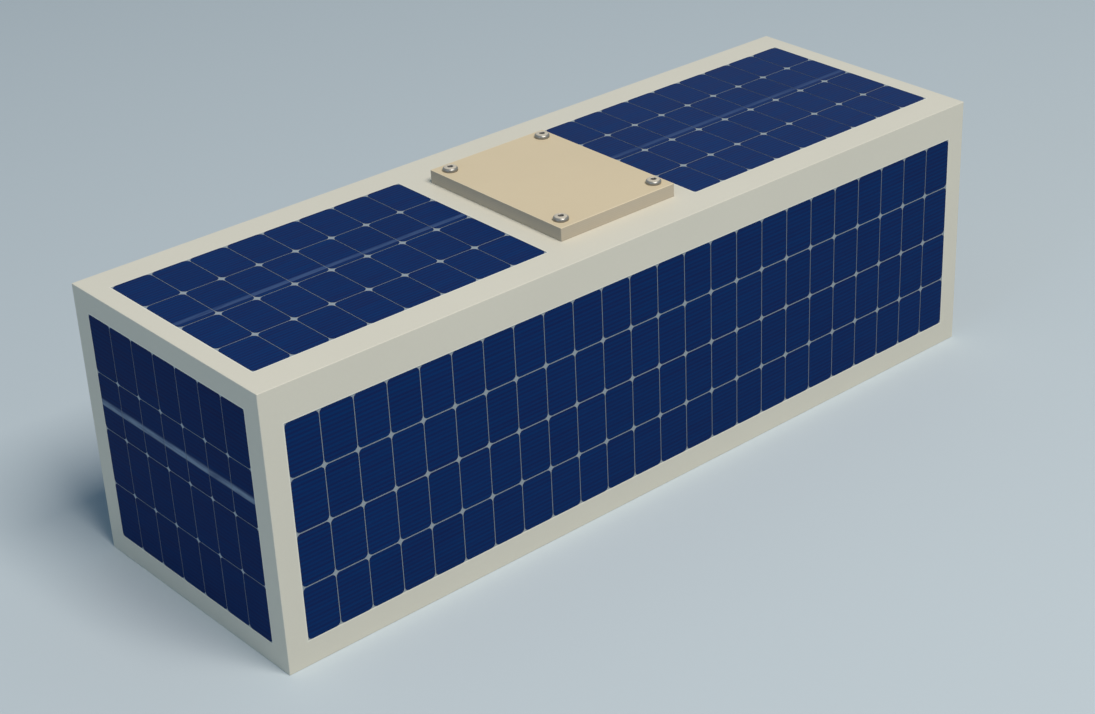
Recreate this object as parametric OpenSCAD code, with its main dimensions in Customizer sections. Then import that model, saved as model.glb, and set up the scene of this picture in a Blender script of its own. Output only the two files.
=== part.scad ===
// Box-shaped three-unit satellite: four square rails, two end plates and four flush face panels,
// with solar arrays let into every face and a plate antenna screwed to the top.
// X runs along the body, Y runs from front to back and Z is up.
// The origin is the middle of the underside.

/* [Body] */
// Length over the rails, along X
body_length = 340.5; // [280:0.5:410]
// Width over the rails, along Y
body_width = 111; // [92:0.5:134]
// Height over the rails, along Z
body_height = 107; // [89:0.5:129]
// Radius of the body's outer edges
edge_radius = 0.25; // [0.1:0.05:1]

/* [Frame] */
// Width of each square rail
rail_width = 8.5; // [7:0.1:10.5]
// Thickness of the end plates, along X
end_plate_thickness = 4; // [2:0.5:8]
// Thickness of the long face panels
panel_thickness = 2.5; // [2:0.1:4]

/* [Solar arrays] */
// How far the cells lie inside the face that they are let into
cell_recess = 0.05; // [0.05:0.05:0.3]
// Thickness of the board that carries the cells
board_thickness = 0.6; // [0.3:0.05:0.8]
// Thickness of a cell
cell_thickness = 0.12; // [0.1:0.02:0.3]
// Free space round a board in its pocket
board_clearance = 0.1; // [0.05:0.05:0.3]
// Gap between the columns of cells on the front and on the back
side_column_gap = 0.3; // [0.15:0.05:0.8]
// Gap between the rows of cells on the front and on the back
side_row_gap = 0.45; // [0.15:0.05:0.8]
// Gap between the columns of cells on the ends, the top and the underside
column_gap = 0.25; // [0.15:0.05:0.8]
// Gap between the rows of cells on the ends, the top and the underside
row_gap = 0.3; // [0.15:0.05:0.8]
// Corner radius of the cells on the front and on the back
side_cell_radius = 1.7; // [0.5:0.1:2.5]
// Corner radius of the cells on each end
end_cell_radius = 1.4; // [0.5:0.1:2.5]
// Corner radius of the cells on the top and underside
top_cell_radius = 2.1; // [0.5:0.1:2.5]
// Rows of cells in every array
cell_rows = 4; // [2:1:6]
// Columns of cells on the front and on the back
side_columns = 24; // [12:1:30]
// Columns of cells on each end
end_columns = 7; // [4:1:10]
// Columns of cells on the top and underside, left of the plate
left_columns = 8; // [4:1:12]
// Columns of cells on the top and underside, right of the plate
right_columns = 9; // [4:1:12]

/* [Array borders] */
// From an end plate to the array on the front or back
side_array_end = 4.7; // [1:0.1:6]
// From the upper rail to the array on the front or back
side_array_above = 5.5; // [1:0.1:8]
// From the lower rail to the array on the front or back
side_array_below = 1.4; // [1:0.1:8]
// From an end plate to the arrays on the top and underside
top_array_end = 3.8; // [1:0.1:6]
// From the front rails to the arrays on the top and underside
top_array_front = 4.8; // [1:0.1:8]
// From the back rails to the arrays on the top and underside
top_array_back = 4; // [1:0.1:8]
// From the left arrays to the plate's left edge
plate_gap_left = 9.2; // [4:0.1:16]
// From the plate's right edge to the right arrays
plate_gap_right = 8; // [4:0.1:16]
// From the rails to the end arrays, sideways and above
end_array_step = 0.2; // [0.2:0.1:3]
// From the lower rails to the end arrays
end_array_below = 0.3; // [0.2:0.1:3]

/* [Antenna plate] */
// Size along X
plate_length = 55; // [40:0.5:70]
// Size along Y
plate_width = 74; // [50:0.5:75]
// Thickness
plate_thickness = 5.2; // [3:0.1:7]
// Radius of its outer edges
plate_edge_radius = 0.2; // [0.1:0.05:0.5]
// Its centre along X
plate_x = -3.4; // [-15:0.1:15]
// Its centre along Y
plate_y = -2.4; // [-5:0.1:5]
// From its short edges to the screws, along X
screw_inset_x = 5; // [4:0.1:8]
// From its long edges to the screws, along Y
screw_inset_y = 5.7; // [4:0.1:8]

/* [Button-head screws] */
// Diameter of the thread
thread_diameter = 3; // [2.5:0.1:3.6]
// Length under the head
screw_length = 10; // [8:0.5:12]
// Diameter of the head
head_diameter = 5.8; // [5:0.1:7]
// Height of the head
head_height = 1.7; // [1.3:0.05:2]
// Height of the straight rim under its dome
head_rim = 0.65; // [0.3:0.05:1]
// Width of the hex socket across its flats
socket_width = 2; // [1.6:0.1:2.4]
// Depth of the hex socket
socket_depth = 1.05; // [0.8:0.05:1.2]
// Free space round the thread in the plate
plate_hole_clearance = 0.2; // [0.1:0.05:0.5]
// Free space round the thread in its tapped hole
thread_clearance = 0.02; // [0.01:0.01:0.1]

/* [Separation springs] */
// Diameter of the spring housing
housing_diameter = 4.2; // [3.5:0.1:5]
// Length of the spring housing
housing_length = 12; // [10:0.5:15]
// Thickness of the housing's closed end
housing_floor = 1.2; // [1:0.1:2]
// Diameter of the pin
pin_diameter = 2.4; // [2:0.1:2.9]
// Room behind the pressed pin for its coil
spring_room = 1.8; // [1.5:0.1:4]
// How far the pin stands out of the rail, and its travel
pin_travel = 1.3; // [1:0.1:1.8]
// Free space round the pin in its housing
pin_clearance = 0.05; // [0.02:0.01:0.1]

/* [Deployment switches] */
// Diameter of the switch plunger
switch_diameter = 3; // [2:0.1:3.6]
// Length of the plunger inside the rail
switch_depth = 10; // [8:0.5:12]
// How far the plunger stands out of the rail
switch_reach = 1.3; // [1:0.1:1.8]

/* [Avionics stack] */
// Free space from an end plate to the stack of boards and batteries
stack_end_space = 56; // [2:1:80]
// Free space from the front and back panels to the stack
stack_side_space = 8; // [2:0.5:15]
// Free space from the stack up to the top panel
stack_top_space = 18; // [10:0.5:30]

/* [Hidden] */

$fn = 64;
edge_steps = 3;         // facets in a quarter turn of an outer edge
cell_corner_steps = 3;  // facets in a quarter turn of a cell's corner
dome_steps = 8;         // facets along the dome of a screw head
tip_chamfer = 0.3;      // chamfer on the tips of the pins and plungers
fit_clearance = 0.02;   // free space round what is pressed into a rail
land_share = 0.45;      // flat top of a screw head, as a share of its diameter

frame_white = [0.81, 0.80, 0.74];
board_grey = [0.66, 0.68, 0.67];
cell_blue = [0.07, 0.16, 0.33];
plate_tan = [0.82, 0.75, 0.63];
steel = [0.72, 0.72, 0.73];
switch_black = [0.10, 0.10, 0.11];
stack_green = [0.16, 0.30, 0.22];

panel_length = body_length - 2 * end_plate_thickness;
side_panel_height = body_height - 2 * rail_width;
top_panel_width = body_width - 2 * rail_width;
pocket_depth = board_thickness + cell_thickness + cell_recess;
housing_bore_radius = pin_diameter / 2 + pin_clearance;
pin_length = housing_length - housing_floor - spring_room;
stack_length = panel_length - 2 * stack_end_space;
stack_width = body_width - 2 * (panel_thickness + stack_side_space);
stack_height = body_height - 2 * panel_thickness - stack_top_space;
screw_spacing_x = plate_length - 2 * screw_inset_x;
screw_spacing_y = plate_width - 2 * screw_inset_y;

// An array is [left, right, low, high] on its face, measured from the face's centre.
side_array = [
    -panel_length / 2 + side_array_end, panel_length / 2 - side_array_end,
    -side_panel_height / 2 + side_array_below, side_panel_height / 2 - side_array_above
];
end_array = [
    -top_panel_width / 2 + end_array_step, top_panel_width / 2 - end_array_step,
    -side_panel_height / 2 + end_array_below, side_panel_height / 2 - end_array_step
];
left_array = [
    -panel_length / 2 + top_array_end, plate_x - plate_length / 2 - plate_gap_left,
    -top_panel_width / 2 + top_array_front, top_panel_width / 2 - top_array_back
];
right_array = [
    plate_x + plate_length / 2 + plate_gap_right, panel_length / 2 - top_array_end,
    left_array[2], left_array[3]
];

function array_width(array) = array[1] - array[0];
function array_height(array) = array[3] - array[2];

// Points of a rectangle with rounded corners, centred on the origin.
function rounded_outline(width, height, radius, steps) = [
    for (corner = [0:3], step = [0:steps])
        let (
            angle = 90 * (corner + step / steps),
            side_x = corner == 0 || corner == 3 ? 1 : -1,
            side_y = corner < 2 ? 1 : -1
        )
        [
            side_x * (width / 2 - radius) + radius * cos(angle),
            side_y * (height / 2 - radius) + radius * sin(angle)
        ]
];

// A box on the XY plane with all of its outer edges rounded.
module rounded_box(length, width, height, radius) {
    translate([0, 0, height / 2])
        intersection() {
            linear_extrude(height, center = true)
                polygon(rounded_outline(length, width, radius, edge_steps));
            rotate([90, 0, 0])
                linear_extrude(width, center = true)
                    polygon(rounded_outline(length, height, radius, edge_steps));
            rotate([90, 0, 90])
                linear_extrude(length, center = true)
                    polygon(rounded_outline(width, height, radius, edge_steps));
        }
}

// The faces: each puts its children's XY plane on a face of the body, with Z pointing outwards.
module on_front() {
    translate([0, -body_width / 2, body_height / 2]) rotate([90, 0, 0]) children();
}
module on_back() {
    translate([0, body_width / 2, body_height / 2]) rotate([90, 0, 180]) children();
}
module on_left_end() {
    translate([-body_length / 2, 0, body_height / 2]) rotate([90, 0, -90]) children();
}
module on_right_end() {
    translate([body_length / 2, 0, body_height / 2]) rotate([90, 0, 90]) children();
}
module on_top() {
    translate([0, 0, body_height]) children();
}
module on_underside() {
    mirror([0, 0, 1]) children();
}

// The four places of the plate's screws on the top.
module at_screws() {
    for (side_x = [-1, 1], side_y = [-1, 1])
        translate([plate_x + side_x * screw_spacing_x / 2, plate_y + side_y * screw_spacing_y / 2, 0])
            children();
}

// The end of a rail at the right end of the body, with Z pointing outwards.
module at_rail_end(side_y, side_z) {
    translate([
        body_length / 2,
        side_y * (body_width - rail_width) / 2,
        body_height / 2 + side_z * (body_height - rail_width) / 2
    ])
        rotate([0, 90, 0])
            children();
}

// Frame

module rail_bar(side_y, side_z) {
    at_rail_end(side_y, side_z)
        translate([-rail_width / 2, -rail_width / 2, -body_length])
            cube([rail_width, rail_width, body_length]);
}

// A rail has a blind bore in its right end for the spring housing or the switch that it carries.
module rail(side_y, side_z, bore_radius, bore_depth) {
    color(frame_white)
        difference() {
            intersection() {
                rail_bar(side_y, side_z);
                rounded_box(body_length, body_width, body_height, edge_radius);
            }
            at_rail_end(side_y, side_z)
                translate([0, 0, -bore_depth])
                    cylinder(r = bore_radius, h = bore_depth + 1);
        }
}

module spring_rail(side_y, side_z) {
    rail(side_y, side_z, housing_diameter / 2 + fit_clearance, housing_length);
}

module switch_rail(side_y, side_z) {
    rail(side_y, side_z, switch_diameter / 2 + fit_clearance, switch_depth);
}

// An end plate fits between the rails and holds the end array.
module end_plate(side) {
    color(frame_white)
        difference() {
            intersection() {
                translate([side * (body_length - end_plate_thickness) / 2, 0, body_height / 2])
                    cube([end_plate_thickness, body_width, body_height], center = true);
                rounded_box(body_length, body_width, body_height, edge_radius);
            }
            for (side_y = [-1, 1], side_z = [-1, 1])
                rail_bar(side_y, side_z);
            if (side < 0)
                on_left_end() pocket(end_array);
            else
                on_right_end() pocket(end_array);
        }
}

// Face panels

module panel_plate(height) {
    translate([-panel_length / 2, -height / 2, -panel_thickness])
        cube([panel_length, height, panel_thickness]);
}

module side_panel() {
    color(frame_white)
        difference() {
            panel_plate(side_panel_height);
            pocket(side_array);
        }
}

// The underside panel, plain between its two arrays.
module underside_panel() {
    color(frame_white)
        difference() {
            panel_plate(top_panel_width);
            pocket(left_array);
            pocket(right_array);
        }
}

// The top panel is the same, with tapped holes for the plate's screws.
module top_panel() {
    difference() {
        underside_panel();
        at_screws()
            translate([0, 0, -panel_thickness - 1])
                cylinder(d = thread_diameter + 2 * thread_clearance, h = panel_thickness + 2);
    }
}

// Solar arrays

module pocket(array) {
    translate([array[0] - board_clearance, array[2] - board_clearance, -pocket_depth])
        cube([
            array_width(array) + 2 * board_clearance,
            array_height(array) + 2 * board_clearance,
            pocket_depth + 1
        ]);
}

module solar_board(array) {
    color(board_grey)
        translate([array[0], array[2], -pocket_depth])
            cube([array_width(array), array_height(array), board_thickness]);
}

module solar_cells(array, columns, gap_x, gap_y, corner_radius) {
    pitch_x = (array_width(array) + gap_x) / columns;
    pitch_y = (array_height(array) + gap_y) / cell_rows;
    color(cell_blue)
        for (column = [0:columns - 1], row = [0:cell_rows - 1])
            translate([
                array[0] + pitch_x * (column + 0.5) - gap_x / 2,
                array[2] + pitch_y * (row + 0.5) - gap_y / 2,
                board_thickness - pocket_depth
            ])
                linear_extrude(cell_thickness)
                    polygon(rounded_outline(
                        pitch_x - gap_x, pitch_y - gap_y, corner_radius, cell_corner_steps
                    ));
}

module side_solar_cells() {
    solar_cells(side_array, side_columns, side_column_gap, side_row_gap, side_cell_radius);
}

module end_solar_cells() {
    solar_cells(end_array, end_columns, column_gap, row_gap, end_cell_radius);
}

module left_solar_cells() {
    solar_cells(left_array, left_columns, column_gap, row_gap, top_cell_radius);
}

module right_solar_cells() {
    solar_cells(right_array, right_columns, column_gap, row_gap, top_cell_radius);
}

// Antenna plate

module antenna_plate() {
    color(plate_tan)
        on_top()
            difference() {
                translate([plate_x, plate_y, 0])
                    rounded_box(plate_length, plate_width, plate_thickness, plate_edge_radius);
                at_screws()
                    translate([0, 0, -1])
                        cylinder(d = thread_diameter + 2 * plate_hole_clearance, h = plate_thickness + 2);
            }
}

// Half section of the screw: shank, flat under the head, rim, dome and flat land on top.
function screw_outline() =
    let (
        land_radius = land_share * head_diameter / 2,
        dome_width = head_diameter / 2 - land_radius,
        dome_height = head_height - head_rim
    )
    concat(
        [[0, -screw_length], [thread_diameter / 2, -screw_length], [thread_diameter / 2, 0]],
        [[head_diameter / 2, 0]],
        [
            for (step = [0:dome_steps])
                let (angle = 90 * step / dome_steps)
                [land_radius + dome_width * cos(angle), head_rim + dome_height * sin(angle)]
        ],
        [[0, head_height]]
    );

module plate_screw(side_x, side_y) {
    color(steel)
        on_top()
            translate([
                plate_x + side_x * screw_spacing_x / 2,
                plate_y + side_y * screw_spacing_y / 2,
                plate_thickness
            ])
                difference() {
                    rotate_extrude() polygon(screw_outline());
                    translate([0, 0, head_height - socket_depth])
                        cylinder(d = socket_width / cos(30), h = socket_depth + 1, $fn = 6);
                }
}

// Separation springs and deployment switches in the right ends of the rails

module spring_housing(side_y, side_z) {
    color(steel)
        at_rail_end(side_y, side_z)
            translate([0, 0, -housing_length])
                difference() {
                    cylinder(d = housing_diameter, h = housing_length);
                    translate([0, 0, housing_floor])
                        cylinder(r = housing_bore_radius, h = housing_length);
                }
}

// A round pin along Z with a chamfered tip at the given height.
module tipped_pin(diameter, length, tip_height) {
    translate([0, 0, tip_height - length]) {
        cylinder(d = diameter, h = length - tip_chamfer);
        translate([0, 0, length - tip_chamfer])
            cylinder(d1 = diameter, d2 = diameter - 2 * tip_chamfer, h = tip_chamfer);
    }
}

module separation_pin(side_y, side_z) {
    color(steel)
        at_rail_end(side_y, side_z)
            tipped_pin(pin_diameter, pin_length, pin_travel);
}

module deployment_switch(side_y, side_z) {
    color(switch_black)
        at_rail_end(side_y, side_z)
            tipped_pin(switch_diameter, switch_depth + switch_reach, switch_reach);
}

// Avionics stack, the heavy block that rests on the underside panel

module avionics_stack() {
    color(stack_green)
        translate([-stack_length / 2, -stack_width / 2, panel_thickness])
            cube([stack_length, stack_width, stack_height]);
}

switch_rail(-1, 1);  // rail_front_top
spring_rail(-1, -1);  // rail_front_bottom
spring_rail(1, 1);  // rail_back_top
switch_rail(1, -1);  // rail_back_bottom
end_plate(-1);  // left_end_plate
end_plate(1);  // right_end_plate
on_front() side_panel();  // front_panel
on_back() side_panel();  // back_panel
on_top() top_panel();
on_underside() underside_panel();  // bottom_panel
on_front() solar_board(side_array);  // front_solar_board
on_back() solar_board(side_array);  // back_solar_board
on_left_end() solar_board(end_array);  // left_end_solar_board
on_right_end() solar_board(end_array);  // right_end_solar_board
on_top() solar_board(left_array);  // top_left_solar_board
on_top() solar_board(right_array);  // top_right_solar_board
on_underside() solar_board(left_array);  // bottom_left_solar_board
on_underside() solar_board(right_array);  // bottom_right_solar_board
on_front() side_solar_cells();  // front_solar_cells
on_back() side_solar_cells();  // back_solar_cells
on_left_end() end_solar_cells();  // left_end_solar_cells
on_right_end() end_solar_cells();  // right_end_solar_cells
on_top() left_solar_cells();  // top_left_solar_cells
on_top() right_solar_cells();  // top_right_solar_cells
on_underside() left_solar_cells();  // bottom_left_solar_cells
on_underside() right_solar_cells();  // bottom_right_solar_cells
antenna_plate();
plate_screw(-1, -1);  // plate_screw_front_left
plate_screw(1, -1);  // plate_screw_front_right
plate_screw(-1, 1);  // plate_screw_back_left
plate_screw(1, 1);  // plate_screw_back_right
avionics_stack();
spring_housing(-1, -1);  // spring_housing_front
spring_housing(1, 1);  // spring_housing_back
separation_pin(-1, -1);  // separation_pin_front
separation_pin(1, 1);  // separation_pin_back
deployment_switch(-1, 1);  // deployment_switch_front
deployment_switch(1, -1);  // deployment_switch_back
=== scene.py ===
"""Looks of a box-shaped three-unit satellite with solar arrays let into every face.

The frame gives the pieces and their places, in metres: X runs along the body, Y from its front to
its back and Z up. Most pieces keep their own shape and get a finish here. The plate's screws, the
sprung pins with their sleeves and the switch plungers are turned again in finer detail.
"""
import math

import bpy
import numpy as np
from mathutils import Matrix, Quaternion, Vector


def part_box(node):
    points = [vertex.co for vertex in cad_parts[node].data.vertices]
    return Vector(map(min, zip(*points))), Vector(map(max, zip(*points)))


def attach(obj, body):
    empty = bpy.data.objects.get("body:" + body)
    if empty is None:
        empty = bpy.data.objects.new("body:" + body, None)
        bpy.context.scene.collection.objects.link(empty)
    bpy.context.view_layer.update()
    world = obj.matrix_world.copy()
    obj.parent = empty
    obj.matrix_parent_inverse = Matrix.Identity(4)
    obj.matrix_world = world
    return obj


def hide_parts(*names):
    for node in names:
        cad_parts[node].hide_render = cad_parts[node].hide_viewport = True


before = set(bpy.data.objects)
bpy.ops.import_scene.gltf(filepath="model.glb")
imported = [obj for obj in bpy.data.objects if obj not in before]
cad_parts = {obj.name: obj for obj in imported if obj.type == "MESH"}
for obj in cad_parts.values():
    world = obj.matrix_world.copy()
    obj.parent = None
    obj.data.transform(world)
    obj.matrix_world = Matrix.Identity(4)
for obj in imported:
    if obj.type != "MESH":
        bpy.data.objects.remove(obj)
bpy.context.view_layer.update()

MM = 0.001  # one millimetre, in metres

# ---------------------------------------------------------------- turned hardware, in mm

AROUND = 96                # points round each turned piece, a multiple of six for the hex sockets
SHARP_ANGLE = 32.0         # degrees, past which an edge is shaded sharp
EDGE_BREAK = 0.12          # small chamfer on a turned edge
BAND_BLEND = 0.3           # length over which one finish turns into the next along a profile

THREAD_RADIUS = 1.5
SHANK_CHAMFER = 0.3        # at the shank's foot
HEAD_HEIGHT = 1.7          # of a button head above the plate
HEAD_LIP = 0.65            # straight rim under its dome
LAND_SHARE = 0.45          # its flat top, as a share of its radius
DOME_START = 6             # degrees round the dome's quarter ellipse at its first station
DOME_STEPS = 14
DOME_RUN = 3.5             # length of the profile from about halfway up the dome to its end
SOCKET_ACROSS = 2.0        # hex socket, flat to flat
SOCKET_DEPTH = 1.05
SOCKET_RUN = 2.2           # length of the profile inside it
SOCKET_CHAMFER = 0.05      # at the foot of its walls
MOUTH_REACH = 0.08         # of its countersunk mouth, past the corners of the hexagon
MOUTH_EASE = (0.04, 0.03)  # the mouth's eased edge, inwards and down
MOUTH_DEPTH = 0.16
DRILL_POINT = 0.25         # depth of the drilled cone in its floor

TIP_STEPS = 8
PIN_TIP = (0.45, 0.45)     # the rounded edge of a pin's tip, inwards and along
PLUNGER_TIP = (0.6, 0.5)   # the same on a switch plunger
SLEEVE_BORE = 1.25         # inner radius of a pin's sleeve
SLEEVE_FLOOR = 1.2         # thickness of its closed end

# ---------------------------------------------------------------- solar arrays, in mm

CELL_ROWS = 4
SIDE_GAPS = (0.3, 0.45)    # between the columns and between the rows, front and back
OTHER_GAPS = (0.25, 0.3)   # the same on the other faces
EDGE_SHOWS = 0.01          # how far in from a cell's edge its cut side counts
CELL_EDGE_SHADE_FADE = (0.15, 0.45)  # how far in from its edge the painted shade along a cell's rim starts and ends fading
STREAK_SHARE = 0.08        # a streak's width, as a share of its length
HAIR_WIDTH = 0.8           # of the fine streaks in the painted reflection band
TOP_REFLECTION = (2.3, 5.25)   # Y of the two edges of the painted reflection band on the top and underside
END_REFLECTION = (62.7, 66.2)  # Z of its edges on each end
REFLECTION_RISE = 0.5          # the painted reflection band is crisp along its lower edge
TOP_REFLECTION_FADE = 1.3             # and soft along its upper one, over this length
END_REFLECTION_FADE = 2.0
REFLECTION_DRAW = 5.0          # sets the painted reflection's random draw in a cell apart from the cell's own

# ---------------------------------------------------------------- paint and laminate, in mm

ARRAY_HIGHLIGHT = (0.4, 0.6)    # how far out from an array the painted highlight round it starts and ends fading
PLATE_RIM_HIGHLIGHT = (0.3, 0.5)     # how far in from the plate's outline its painted highlight rim does
PLATE_SKIN = (0.15, 0.25)  # how far down from its face the face's finish does

# ---------------------------------------------------------------- colours, as linear light

WHITE_PAINT = (0.666, 0.628, 0.525)
# painted highlight round each array's edge
PAINT_EDGE_HIGHLIGHT = (0.76, 0.73, 0.63)
BOARD_GREY = (0.285, 0.325, 0.355)
BOARD_SHADE = (0.24, 0.275, 0.31)
# paler board on the ends: painted light that lifts the shade in their narrow gaps
END_BOARD_LIT_GREY = (0.38, 0.43, 0.48)
CELL_LIGHT = (0.0026, 0.0285, 0.1200)
CELL_DARK = (0.0062, 0.0155, 0.0790)
# painted shade along each cell's edge
CELL_EDGE_SHADE = (0.0010, 0.0090, 0.0560)
CELL_SIDE = (0.16, 0.185, 0.225)
# pale blue of the painted reflection band in the cells: a soft light mirrored in their glass
TOP_REFLECTION_BLUE = (0.041, 0.077, 0.180)
FAINT_REFLECTION_BLUE = (0.030, 0.060, 0.155)
END_REFLECTION_BLUE = (0.210, 0.275, 0.375)
TAN_LAMINATE = (0.660, 0.540, 0.360)
# painted highlight round the plate's face
TAN_EDGE_HIGHLIGHT = (0.700, 0.585, 0.405)
# the plate's sides, darker: painted shade
TAN_SIDE_SHADE = (0.525, 0.457, 0.353)
BRIGHT_STEEL = (0.66, 0.63, 0.59)
# a screw's rim, dark: painted dark reflection
RIM_STEEL_DARK_REFLECTION = (0.27, 0.26, 0.24)
# its dome, pale beige: painted warm reflection
DOME_STEEL_WARM_REFLECTION = (0.66, 0.57, 0.45)
# inside a screw's socket, dark: painted shade in the recess
SOCKET_SHADE = (0.165, 0.160, 0.155)
SLEEVE_STEEL = (0.40, 0.40, 0.41)
SWITCH_BLACK = (0.022, 0.022, 0.025)
CIRCUIT_GREEN = (0.020, 0.075, 0.040)
# the gaps between stacked boards: painted shade
CIRCUIT_GAP_SHADE = (0.012, 0.018, 0.016)
FLOOR_TONE = (0.53, 0.59, 0.62)
SKY_TONE = (0.115, 0.18, 0.24)
KEY_TONE = (1.0, 0.95, 0.89)
FILL_TONE = (0.44, 0.66, 1.0)

# ---------------------------------------------------------------- camera, lamps and floor

CAMERA_PLACE = Vector((-0.483, -0.577, 0.437))  # metres
CAMERA_AIM = Vector((0.0272, -0.0372, 0.0379))  # metres, the point it looks at
CAMERA_ROLL = -0.92             # degrees
CAMERA_LENS = 72.2              # mm
CAMERA_SENSOR = 36.0            # mm
CAMERA_SHIFT = -0.12
CAMERA_NEAREST = 0.05           # metres
KEY_FROM = Vector((0.0, -0.485, 0.87))
KEY_POWER = 61.0                # watts
KEY_SIZE = 1.2                  # metres
FILL_FROM = Vector((-1.0, -0.12, 0.35))
FILL_POWER = 5.6
FILL_SIZE = 0.9
LAMP_DISTANCE = 2.6             # metres
FLOOR_REACH = 8.0               # metres from the middle to an edge
FLOOR_FADE = (700.0, 2600.0)    # mm from the middle between which the floor fades out
FLOOR_PATCHES = 400.0           # mm, size of its faint clouds


# ================================================================ shader expressions

class Term:
    """A shader socket in a sum: each Python operator on it adds the Math node that works it out."""

    def __init__(self, graph, socket):
        self.graph = graph
        self.socket = socket

    def __add__(self, other):
        return self.graph.maths("ADD", self, other)

    def __sub__(self, other):
        return self.graph.maths("SUBTRACT", self, other)

    def __rsub__(self, other):
        return self.graph.maths("SUBTRACT", other, self)

    def __mul__(self, other):
        return self.graph.maths("MULTIPLY", self, other)

    def __truediv__(self, other):
        return self.graph.maths("DIVIDE", self, other)

    def __abs__(self):
        return self.graph.maths("ABSOLUTE", self)

    __radd__ = __add__
    __rmul__ = __mul__


class Graph:
    """A node tree, with the few calls that build it."""

    def __init__(self, tree):
        self.tree = tree
        tree.nodes.clear()

    def node(self, kind, settings=None, sockets=None, output=0):
        """Adds a node: its settings first, then the value or link of each socket. Gives one output."""
        made = self.tree.nodes.new("ShaderNode" + kind)
        for name, value in (settings or {}).items():
            setattr(made, name, value)
        for name, value in (sockets or {}).items():
            if isinstance(value, Term):
                self.tree.links.new(value.socket, made.inputs[name])
            else:
                made.inputs[name].default_value = value
        return Term(self, made.outputs[output]) if made.outputs else None

    def maths(self, operation, *values):
        """A Math node on these numbers and sockets."""
        return self.node("Math", {"operation": operation}, dict(enumerate(values)))

    def smooth(self, value, start, end):
        """0 up to start, 1 from end on, and a soft step between them."""
        return self.node("MapRange", {"interpolation_type": "SMOOTHSTEP"},
                         {"Value": value, "From Min": start, "From Max": end})

    def mix(self, share, first, second):
        """The first colour at share 0 and the second at share 1."""
        colours = [c if isinstance(c, Term) else (*c, 1.0) for c in (first, second)]
        return self.node("Mix", {"data_type": "RGBA"}, {0: share, 6: colours[0], 7: colours[1]}, 2)

    def scaled(self, vector, factor):
        """A vector or colour times one number."""
        return self.node("VectorMath", {"operation": "SCALE"}, {0: vector, "Scale": factor})

    def parts(self, vector):
        """The X, Y and Z of a vector, by their letters."""
        split = self.node("SeparateXYZ", None, {0: vector}).socket.node
        return {axis: Term(self, split.outputs[axis]) for axis in "XYZ"}

    def place(self):
        """The point on the piece in mm from the origin, and its X, Y and Z."""
        point = self.scaled(self.node("TexCoord", output="Object"), 1 / MM)
        return point, self.parts(point)

    def noise(self, point, size, detail=2.0):
        """Cloudy noise round 0, with features of about that size in mm."""
        return self.node("TexNoise", None, {"Vector": point, "Scale": 1 / size, "Detail": detail}) - 0.5

    def chance(self, *numbers):
        """A fixed random number round 0 for each set of whole numbers."""
        point = self.node("CombineXYZ", None, dict(enumerate(numbers)))
        return self.node("TexWhiteNoise", None, {"Vector": point}) - 0.5

    def wave(self, distance, pitch):
        """An even wave from 0 to 1 and back once every pitch."""
        return self.maths("SINE", distance * (2 * math.pi / pitch)) * 0.5 + 0.5

    def bump(self, height, depth):
        """The normal of a surface whose height, from 0 to 1, stands for that many mm."""
        return self.node("Bump", None, {"Height": height, "Distance": depth * MM})


def finish(name, build):
    """A material: build(graph) gives the values and links of its shader's sockets."""
    material = bpy.data.materials.new(name)
    material.use_nodes = True
    graph = Graph(material.node_tree)
    shader = graph.node("BsdfPrincipled", None, build(graph))
    graph.node("OutputMaterial", None, {"Surface": shader})
    return material


# ================================================================ finishes

def window_of(node, axes):
    """A node's sides along the two axes of its face: (axis, low, high) for each, in mm."""
    low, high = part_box(node)
    return [(axis, low["XYZ".index(axis)] / MM, high["XYZ".index(axis)] / MM) for axis in axes]


def outside(graph, parts, window):
    """Distance in mm out from a window on the face, and less than 0 inside it."""
    gaps = [abs(parts[axis] - (low + high) / 2) - (high - low) / 2 for axis, low, high in window]
    return graph.maths("MAXIMUM", *gaps)


def frame_paint(windows):
    """White satin paint: a cloudy tone, fine orange peel and a painted highlight, a paler line, round each
    array.
    """
    def build(graph):
        point, parts = graph.place()
        colour = WHITE_PAINT
        for window in windows:
            # A paler line round each array is a painted highlight on its edge.
            highlight = 1 - graph.smooth(outside(graph, parts, window), *ARRAY_HIGHLIGHT)
            colour = graph.mix(highlight, colour, PAINT_EDGE_HIGHLIGHT)
        clouds = graph.noise(point, 45.0)
        wear = graph.noise(point, 6.0)
        peel = graph.noise(point, 0.9)
        return {
            "Base Color": graph.scaled(colour, 1 + clouds * 0.05 + peel * 0.02),
            "Roughness": 0.5 + wear * 0.1,
            "Normal": graph.bump(peel, 0.012),
            "Specular IOR Level": 0.25,
        }
    return build


def board_resin(pale, shade):
    """Pale grey circuit board under the cells: fine woven cloth in resin, between two tones."""
    def build(graph):
        point, parts = graph.place()
        thread = 0.5
        weave = graph.wave(parts["X"] + parts["Y"], thread) * graph.wave(parts["Z"] + parts["Y"], thread)
        clouds = graph.noise(point, 3.0)
        wear = graph.noise(point, 1.5)
        return {
            "Base Color": graph.mix(weave * 0.4 + clouds * 0.5, pale, shade),
            "Roughness": 0.55 + wear * 0.1,
            "Normal": graph.bump(weave, 0.01),
            "Specular IOR Level": 0.3,
        }
    return build


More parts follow.
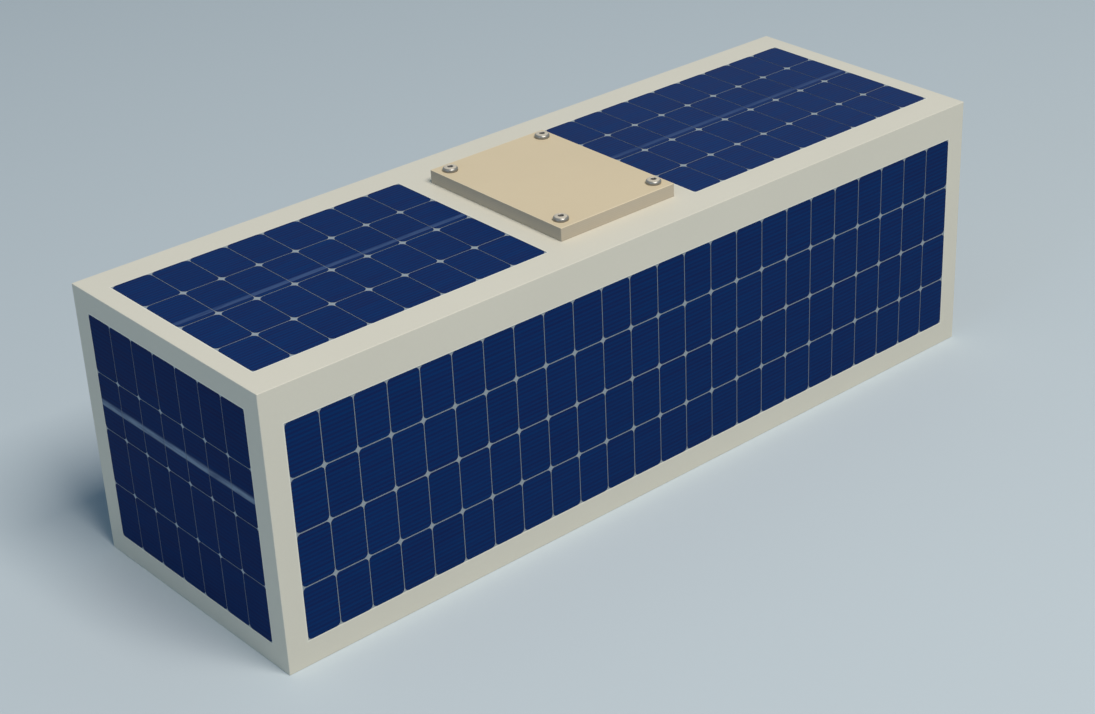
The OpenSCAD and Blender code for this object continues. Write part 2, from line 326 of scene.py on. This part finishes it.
def silicon(node, axes, columns, gaps, pitch, lined, streaked, shine, tone=1.0, cuts=1.0, reflection_band=None):
    """Blue cells on a face: fine fingers every pitch and streaks along its first axis, which lined and
    streaked make stronger, a darker rim round each cell that is painted shade along its edge, paler
    cut sides and, where the last argument gives (low edge, high edge, length of its soft edge, colour),
    a pale band that is a painted reflection. Shine is how strongly they reflect, tone brightens them and,
    where it is highest, on the right-hand flat arrays, stands for painted sheen, and cuts is how many
    times as pale the cut sides are between the columns as between the rows, painted light that lifts
    the shade in the gaps between the columns."""
    (along, left, right), (up, low, high) = window_of(node, axes)
    pitch_along = (right - left + gaps[0]) / columns
    pitch_up = (high - low + gaps[1]) / CELL_ROWS

    def within(graph, place, start, step, gap):
        """The number of the cell at a place, and the distance in mm in from its nearer edge."""
        share = (place - start) / step
        number = graph.maths("FLOOR", share)
        half = (step - gap) / 2
        return number, half - abs((share - number) * step - half)

    def build(graph):
        point, parts = graph.place()
        column, side_edge = within(graph, parts[along], left, pitch_along, gaps[0])
        row, flat_edge = within(graph, parts[up], low, pitch_up, gaps[1])
        edge = graph.maths("MINIMUM", side_edge, flat_edge)
        drawn_out = [STREAK_SHARE if axis == along else 1.0 for axis in "XYZ"]
        drawn_point = graph.node("VectorMath", {"operation": "MULTIPLY"}, {0: point, 1: drawn_out})
        streaks = graph.noise(drawn_point, pitch)
        hairs = graph.noise(drawn_point, HAIR_WIDTH)
        fingers = graph.wave(parts[up] - low, pitch)
        share = 0.5 + (fingers - 0.5) * lined + streaks * streaked
        colour = graph.mix(share, CELL_DARK, CELL_LIGHT)
        # A darker rim round each cell is painted shade along its edge.
        rim = 1 - graph.smooth(edge, *CELL_EDGE_SHADE_FADE)
        colour = graph.mix(rim * 0.3, colour, CELL_EDGE_SHADE)
        # A pale band across the cells is painted reflection, a soft light mirrored in their glass, uneven
        # from cell to cell.
        if reflection_band:
            lower, upper, fade, pale = reflection_band
            reflection_share = graph.smooth(parts[up], lower, lower + REFLECTION_RISE)
            reflection_share = reflection_share - graph.smooth(parts[up], upper - fade, upper)
            uneven = graph.chance(column, row, REFLECTION_DRAW) * 0.2 + streaks * 0.4 + hairs * 1.6
            colour = graph.mix(reflection_share * (0.9 + uneven), colour, pale)
        colour = graph.scaled(colour, tone + graph.chance(column, row) * 0.06)
        # Cuts paints the cut sides between the columns paler: painted light that lifts the shade in those
        # narrow gaps.
        between_columns = graph.maths("LESS_THAN", side_edge, EDGE_SHOWS)
        side = graph.scaled(CELL_SIDE, 1 + between_columns * (cuts - 1))
        return {
            "Base Color": graph.mix(graph.maths("LESS_THAN", edge, EDGE_SHOWS), colour, side),
            "Roughness": 0.36 + streaks * 0.2,
            "Normal": graph.bump(fingers, 0.01),
            "Specular IOR Level": shine,
        }
    return build


def laminate(graph):
    """Tan microwave laminate: cloudy, finely speckled and faintly woven, with a paler rim round its
    face that is a painted highlight, and layered sides whose darker tan is painted shade."""
    point, parts = graph.place()
    inside = outside(graph, parts, window_of("antenna_plate", "XY")) * -1
    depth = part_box("antenna_plate")[1].z / MM - parts["Z"]
    face = 1 - graph.smooth(depth, *PLATE_SKIN)
    # A paler rim round the plate's face is a painted highlight.
    rim = (1 - graph.smooth(inside, *PLATE_RIM_HIGHLIGHT)) * face
    clouds = graph.noise(point, 25.0)
    speckle = graph.noise(point, 0.3)
    thread = 0.7
    weave = graph.wave(parts["X"], thread) * graph.wave(parts["Y"], thread)
    layers = graph.wave(parts["Z"], 0.75) * (1 - face)
    tone = 1 + clouds * 0.06 + speckle * 0.03 - layers * 0.05
    # The sides take a darker tan than the face: painted shade.
    colour = graph.mix(face, TAN_SIDE_SHADE, graph.mix(rim, TAN_LAMINATE, TAN_EDGE_HIGHLIGHT))
    return {
        "Base Color": graph.scaled(colour, tone),
        "Roughness": 0.55 + speckle * 0.15,
        "Normal": graph.bump(weave * 0.5 + speckle, 0.004),
        "Specular IOR Level": 0.25,
    }


def turned_metal(bands, roughness, ring_pitch):
    """Metal off a lathe: fine rings along its profile and faint smears. Bands holds a (length, colour,
    metallic) for each stretch of the profile, which starts that many mm before the profile's end."""
    def build(graph):
        point, _ = graph.place()
        along = graph.parts(graph.node("UVMap", {"uv_map": "turned"}))["Y"]
        smear = graph.noise(point, 0.6)
        _, colour, metallic = bands[0]
        for length, later_colour, later_metallic in bands[1:]:
            share = graph.smooth(along, -length, BAND_BLEND - length)
            colour = graph.mix(share, colour, later_colour)
            metallic = metallic + share * (later_metallic - metallic)
        return {
            "Base Color": graph.scaled(colour, 1 + smear * 0.1),
            "Metallic": metallic,
            "Roughness": roughness + smear * 0.08,
            "Normal": graph.bump(graph.wave(along, ring_pitch), 0.0015),
        }
    return build


def moulded_black(graph):
    """Black acetal with a fine grain."""
    point, _ = graph.place()
    grain = graph.noise(point, 0.15)
    return {
        "Base Color": graph.scaled(SWITCH_BLACK, 1 + grain * 0.5),
        "Roughness": 0.42 + grain * 0.15,
        "Normal": graph.bump(grain, 0.01),
    }


def stacked_boards(graph):
    """Green circuit boards, one above another, with painted shade in the gaps between them."""
    point, parts = graph.place()
    layers = graph.smooth(graph.wave(parts["Z"], 12.0), 0.8, 0.9)
    blocks = graph.noise(point, 9.0, 0.0)
    colour = graph.mix(layers, CIRCUIT_GAP_SHADE, CIRCUIT_GREEN)
    return {
        "Base Color": graph.scaled(colour, 1 + blocks),
        "Roughness": 0.5 + blocks * 0.2,
        "Normal": graph.bump(layers, 0.5),
    }


def dress(name, nodes, build):
    """Gives these CAD nodes one finish."""
    material = finish(name, build)
    for node in nodes:
        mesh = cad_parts[node].data
        mesh.materials.clear()
        mesh.materials.append(material)


def dress_frame():
    """Paints the rails, panels and end plates. A hidden face's arrays lie as those of the face opposite,
    so both take the same windows."""
    side_window = window_of("front_solar_board", "XZ")
    end_window = window_of("left_end_solar_board", "YZ")
    flat_windows = [window_of(f"top_{hand}_solar_board", "XY") for hand in ("left", "right")]
    rails = [f"rail_{side}_{level}" for side in ("front", "back") for level in ("top", "bottom")]
    dress("rail_paint", rails, frame_paint([]))
    dress("side_panel_paint", ["front_panel", "back_panel"], frame_paint([side_window]))
    dress("end_plate_paint", ["left_end_plate", "right_end_plate"], frame_paint([end_window]))
    dress("flat_panel_paint", ["top_panel", "bottom_panel"], frame_paint(flat_windows))


def dress_arrays():
    """Gives the boards their resin and the cells of each kind of face their own silicon."""
    boards = [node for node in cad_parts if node.endswith("_solar_board")]
    end_boards = [node for node in boards if "_end_" in node]
    other_boards = [node for node in boards if "_end_" not in node]
    dress("board_resin", other_boards, board_resin(BOARD_GREY, BOARD_SHADE))
    # The end boards take a paler grey: painted light that lifts the shade in the end faces' narrow gaps.
    dress("end_board_resin_lit", end_boards, board_resin(END_BOARD_LIT_GREY, BOARD_GREY))
    side = {
        "axes": "XZ", "columns": 24, "gaps": SIDE_GAPS, "pitch": 1.65,
        "lined": 0.7, "streaked": 0.8, "shine": 0.02, "tone": 1.04,
    }
    end = {
        "axes": "YZ", "columns": 7, "gaps": OTHER_GAPS, "pitch": 1.65,
        "lined": 0.55, "streaked": 1.0, "shine": 0.01, "cuts": 1.55,
        "reflection_band": (*END_REFLECTION, END_REFLECTION_FADE, END_REFLECTION_BLUE),
    }
    flat = {"axes": "XY", "gaps": OTHER_GAPS, "pitch": 1.6, "lined": 0.8, "streaked": 1.2}
    flat_left = {
        **flat, "columns": 8, "shine": 0.012, "tone": 1.03,
        "reflection_band": (*TOP_REFLECTION, TOP_REFLECTION_FADE, TOP_REFLECTION_BLUE),
    }
    # The right-hand flat arrays' higher tone is painted sheen, and their reflection band is fainter.
    flat_right = {
        **flat, "columns": 9, "shine": 0.02, "tone": 1.11,
        "reflection_band": (*TOP_REFLECTION, TOP_REFLECTION_FADE, FAINT_REFLECTION_BLUE),
    }
    kinds = [
        ("side_cells", ["front", "back"], side),
        ("end_cells", ["left_end", "right_end"], end),
        ("flat_left_cells", ["top_left", "bottom_left"], flat_left),
        ("flat_right_cells", ["top_right", "bottom_right"], flat_right),
    ]
    for name, places, look in kinds:
        nodes = [f"{place}_solar_cells" for place in places]
        dress(name, nodes, silicon(nodes[0], **look))


# ================================================================ turned pieces

def arc(centre, radius, start, end, steps):
    """Points (r, z) along an arc of a profile at even angles in degrees: r is the centre's plus the
    first radius times the cosine, and z is the centre's plus the second radius times the sine."""
    angle = np.radians(np.linspace(start, end, steps + 1))
    return np.stack([centre[0] + radius[0] * np.cos(angle), centre[1] + radius[1] * np.sin(angle)], -1)


def wrap_of(profile):
    """The UV of each face corner that turned makes: U is the share of a turn, and V is the length in mm
    along the profile, less the profile's whole length, so that V is 0 at its end."""
    run = np.concatenate([[0], np.cumsum(np.hypot(*np.diff(profile, axis=0).T))])
    run = run - run[-1]
    turn = np.arange(AROUND) / AROUND
    after = turn + 1 / AROUND
    near, far = run[1:-2, None], run[2:-1, None]
    quads = [(turn, near), (after, near), (after, far), (turn, far)]
    start_fan = [(turn, run[0]), (after, run[1]), (turn, run[1])]
    end_fan = [(turn, run[-1]), (turn, run[-2]), (after, run[-2])]
    faces = [np.stack([np.stack(np.broadcast_arrays(u, v), -1) for u, v in corners], -2).reshape(-1, 2)
             for corners in (quads, start_fan, end_fan)]
    return np.concatenate(faces).astype(np.float32)


def turned(name, profile, foot, axis, hexness=None):
    """A profile carried round an axis. The point at angle t on station s of the profile lies at
    radius r(s) * (1 + h(s) * (hexagon(t) - 1)) and height z(s), where hexagon(t) is 1 / cos of the
    angle to the nearest flat's middle and h is 0 on round stations and 1 on hexagonal ones. The
    profile starts and ends on the axis, where a fan of triangles closes the skin. Foot is the
    profile's zero in metres; axis is "Z", or "X" for a piece that lies along the body."""
    profile = np.asarray(profile, float)
    count = len(profile)
    hexness = np.zeros(count) if hexness is None else np.asarray(hexness, float)
    angle = np.arange(AROUND) * 2 * math.pi / AROUND
    to_flat = (angle + math.pi / 6) % (math.pi / 3) - math.pi / 6
    bulge = 1 + hexness[:, None] * (1 / np.cos(to_flat) - 1)[None, :]
    radius = profile[:, :1] * bulge
    height = np.repeat(profile[:, 1:], AROUND, axis=1)
    local = np.stack([radius * np.cos(angle), radius * np.sin(angle), height], -1)
    rings = local[1:-1].reshape(-1, 3)
    poles = np.array([[0, 0, profile[0, 1]], [0, 0, profile[-1, 1]]])
    points = np.concatenate([rings, poles])
    if axis == "X":
        points = points[:, [2, 0, 1]]
    points = points * MM + np.array(foot)

    number = np.arange((count - 2) * AROUND).reshape(count - 2, AROUND)
    onward = np.roll(number, -1, axis=1)
    quads = np.stack([number[:-1], onward[:-1], onward[1:], number[1:]], -1).reshape(-1, 4)
    first = np.full(AROUND, number.size)
    fans = [np.stack([first, onward[0], number[0]], -1), np.stack([first + 1, number[-1], onward[-1]], -1)]
    mesh = bpy.data.meshes.new(name)
    mesh.from_pydata(points.tolist(), [], quads.tolist() + fans[0].tolist() + fans[1].tolist())

    mesh.uv_layers.new(name="turned").uv.foreach_set("vector", wrap_of(profile).ravel())
    mesh.polygons.foreach_set("use_smooth", np.ones(len(mesh.polygons), bool))
    mesh.set_sharp_from_angle(angle=math.radians(SHARP_ANGLE))
    mesh.update()
    piece = bpy.data.objects.new(name, mesh)
    bpy.context.scene.collection.objects.link(piece)
    return piece


def stand_in(piece, node, body, material):
    """The piece takes the place of a CAD node and moves with its body."""
    piece.data.materials.append(material)
    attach(piece, body)
    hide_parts(node)


def middle(node):
    """The middle of a node's box and its two corners, in metres."""
    low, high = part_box(node)
    return (low + high) / 2, low, high


def lying(node):
    """For a node that lies along X: its radius and length in mm, and the middle of its hidden end in
    metres."""
    centre, low, high = middle(node)
    return (high.z - low.z) / 2 / MM, (high.x - low.x) / MM, (low.x, centre.y, centre.z)


def button_screw(name, node):
    """A button-head screw: a plain shank, a flat under the head, its rim, a quarter-ellipse dome up to
    a flat land, and a hexagonal socket with a countersunk mouth and a drilled point."""
    centre, low, high = middle(node)
    radius = (high.x - low.x) / 2 / MM
    under = high.z / MM - HEAD_HEIGHT
    shank = under - low.z / MM
    land = radius * LAND_SHARE
    flat = SOCKET_ACROSS / 2
    mouth = flat / math.cos(math.pi / 6) + MOUTH_REACH
    ease, drop = MOUTH_EASE
    round_part = np.concatenate([
        [(0, -shank), (THREAD_RADIUS - SHANK_CHAMFER, -shank)],
        [(THREAD_RADIUS, SHANK_CHAMFER - shank), (THREAD_RADIUS, 0)],
        [(radius - EDGE_BREAK, 0), (radius, EDGE_BREAK), (radius, HEAD_LIP)],
        arc((land, HEAD_LIP), (radius - land, HEAD_HEIGHT - HEAD_LIP), DOME_START, 90, DOME_STEPS),
        [(mouth, HEAD_HEIGHT), (mouth - ease, HEAD_HEIGHT - drop)],
    ])
    floor = HEAD_HEIGHT - SOCKET_DEPTH
    hex_part = [
        (flat, HEAD_HEIGHT - MOUTH_DEPTH), (flat, floor + SOCKET_CHAMFER), (flat - SOCKET_CHAMFER, floor),
    ]
    profile = np.concatenate([round_part, hex_part, [(0, floor - DRILL_POINT)]])
    hexness = [0] * len(round_part) + [1, 1, 1, 0]
    return turned(name, profile, (centre.x, centre.y, under * MM), "Z", hexness)


def round_tipped(name, node, tip):
    """A round pin: a broken edge at its hidden end, and a quarter ellipse, of the two radii that tip
    gives, from its side to the flat middle of its tip."""
    radius, length, foot = lying(node)
    inwards, along = tip
    profile = np.concatenate([
        [(0, 0), (radius - EDGE_BREAK, 0), (radius, EDGE_BREAK)],
        arc((radius - inwards, length - along), tip, 0, 90, TIP_STEPS),
        [(0, length)],
    ])
    return turned(name, profile, foot, "X")


def pin_sleeve(name, node):
    """A sleeve: straight walls from its closed, hidden end, whose outer edge is broken, to a mouth
    with both edges broken, and a flat floor inside."""
    radius, length, foot = lying(node)
    bore = SLEEVE_BORE
    profile = [
        (0, 0), (radius - EDGE_BREAK, 0), (radius, EDGE_BREAK), (radius, length - EDGE_BREAK),
        (radius - EDGE_BREAK, length), (bore + EDGE_BREAK, length), (bore, length - EDGE_BREAK),
        (bore, SLEEVE_FLOOR), (0, SLEEVE_FLOOR),
    ]
    return turned(name, profile, foot, "X")


def make_hardware():
    """The plate's four screws, and a pin, its sleeve and a switch plunger at the front and the back."""
    # The screw head's steel is painted in bands: a darker rim, a painted dark reflection, a pale beige
    # dome, a painted warm reflection, and a dark socket, painted shade.
    screw_bands = [(None, RIM_STEEL_DARK_REFLECTION, 0.7), (DOME_RUN, DOME_STEEL_WARM_REFLECTION, 0.4), (SOCKET_RUN, SOCKET_SHADE, 0.0)]
    screw_steel = finish("screw_steel", turned_metal(screw_bands, 0.36, 0.09))
    pin_steel = finish("pin_steel", turned_metal([(None, BRIGHT_STEEL, 1.0)], 0.25, 0.12))
    sleeve_steel = finish("sleeve_steel", turned_metal([(None, SLEEVE_STEEL, 1.0)], 0.38, 0.15))
    plunger_black = finish("plunger_black", moulded_black)
    for corner in ("front_left", "front_right", "back_left", "back_right"):
        node = f"plate_screw_{corner}"
        stand_in(button_screw(f"button_screw_{corner}", node), node, "chassis", screw_steel)
    for side in ("front", "back"):
        pin, sleeve = f"separation_pin_{side}", f"spring_housing_{side}"
        switch = f"deployment_switch_{side}"
        sprung_pin = round_tipped(f"sprung_pin_{side}", pin, PIN_TIP)
        stand_in(sprung_pin, pin, f"{side}_pin", pin_steel)
        stand_in(pin_sleeve(f"pin_sleeve_{side}", sleeve), sleeve, "chassis", sleeve_steel)
        plunger = round_tipped(f"switch_plunger_{side}", switch, PLUNGER_TIP)
        stand_in(plunger, switch, "chassis", plunger_black)


# ================================================================ studio

def make_floor():
    """A plain pale floor that is seen only from above and fades into the background far away."""
    mesh = bpy.data.meshes.new("studio_floor")
    corners = [(x * FLOOR_REACH, y * FLOOR_REACH, 0) for x, y in ((-1, -1), (1, -1), (1, 1), (-1, 1))]
    mesh.from_pydata(corners, [], [(0, 1, 2, 3)])
    floor = bpy.data.objects.new("studio_floor", mesh)
    bpy.context.scene.collection.objects.link(floor)

    material = bpy.data.materials.new("studio_floor")
    material.use_nodes = True
    graph = Graph(material.node_tree)
    point, _ = graph.place()
    tone = graph.scaled(FLOOR_TONE, 1 + graph.noise(point, FLOOR_PATCHES) * 0.02)
    shader = graph.node("BsdfPrincipled", None, {"Base Color": tone, "Roughness": 0.9,
                                                 "Specular IOR Level": 0.1})
    below = graph.node("NewGeometry", output="Backfacing")
    distance = graph.node("VectorMath", {"operation": "LENGTH"}, {0: point}, "Value")
    gone = graph.maths("MAXIMUM", below, graph.smooth(distance, *FLOOR_FADE))
    clear = graph.node("BsdfTransparent")
    surface = graph.node("MixShader", None, {0: gone, 1: shader, 2: clear})
    graph.node("OutputMaterial", None, {"Surface": surface})
    mesh.materials.append(material)


def make_sky():
    """An even, slightly cool surrounding light, which is seen, and mirrored, as pale as the floor."""
    world = bpy.data.worlds.new("studio")
    world.use_nodes = True
    graph = Graph(world.node_tree)
    path = graph.node("LightPath").socket.node
    camera, glossy, through = [Term(graph, path.outputs[f"Is {kind} Ray"])
                               for kind in ("Camera", "Glossy", "Transmission")]
    seen = camera + glossy + through
    colour = graph.mix(seen, SKY_TONE, FLOOR_TONE)
    light = graph.node("Background", None, {"Color": colour, "Strength": 1.0})
    graph.node("OutputWorld", None, {"Surface": light})
    bpy.context.scene.world = world


def make_lamp(name, direction, size, power, tone):
    """A large soft square lamp that shines on the body from one direction."""
    lamp = bpy.data.lights.new(name, "AREA")
    lamp.energy = power
    lamp.color = tone
    lamp.size = size
    light = bpy.data.objects.new(name, lamp)
    light.location = direction.normalized() * LAMP_DISTANCE
    light.rotation_euler = direction.to_track_quat("Z", "Y").to_euler()
    bpy.context.scene.collection.objects.link(light)


def make_camera():
    """A long lens that looks down on the body from in front of its left end."""
    lens = bpy.data.cameras.new("camera")
    lens.lens = CAMERA_LENS
    lens.sensor_width = CAMERA_SENSOR
    lens.shift_x = CAMERA_SHIFT
    lens.clip_start = CAMERA_NEAREST
    camera = bpy.data.objects.new("camera", lens)
    look = (CAMERA_AIM - CAMERA_PLACE).to_track_quat("-Z", "Y")
    camera.location = CAMERA_PLACE
    camera.rotation_mode = "QUATERNION"
    camera.rotation_quaternion = look @ Quaternion((0, 0, 1), math.radians(CAMERA_ROLL))
    bpy.context.scene.collection.objects.link(camera)
    bpy.context.scene.camera = camera


make_camera()
make_sky()
make_lamp("key", KEY_FROM, KEY_SIZE, KEY_POWER, KEY_TONE)
make_lamp("fill", FILL_FROM, FILL_SIZE, FILL_POWER, FILL_TONE)
make_floor()
dress_frame()
dress_arrays()
dress("laminate", ["antenna_plate"], laminate)
dress("stacked_boards", ["avionics_stack"], stacked_boards)
make_hardware()

bpy.context.scene.view_settings.view_transform = "Standard"
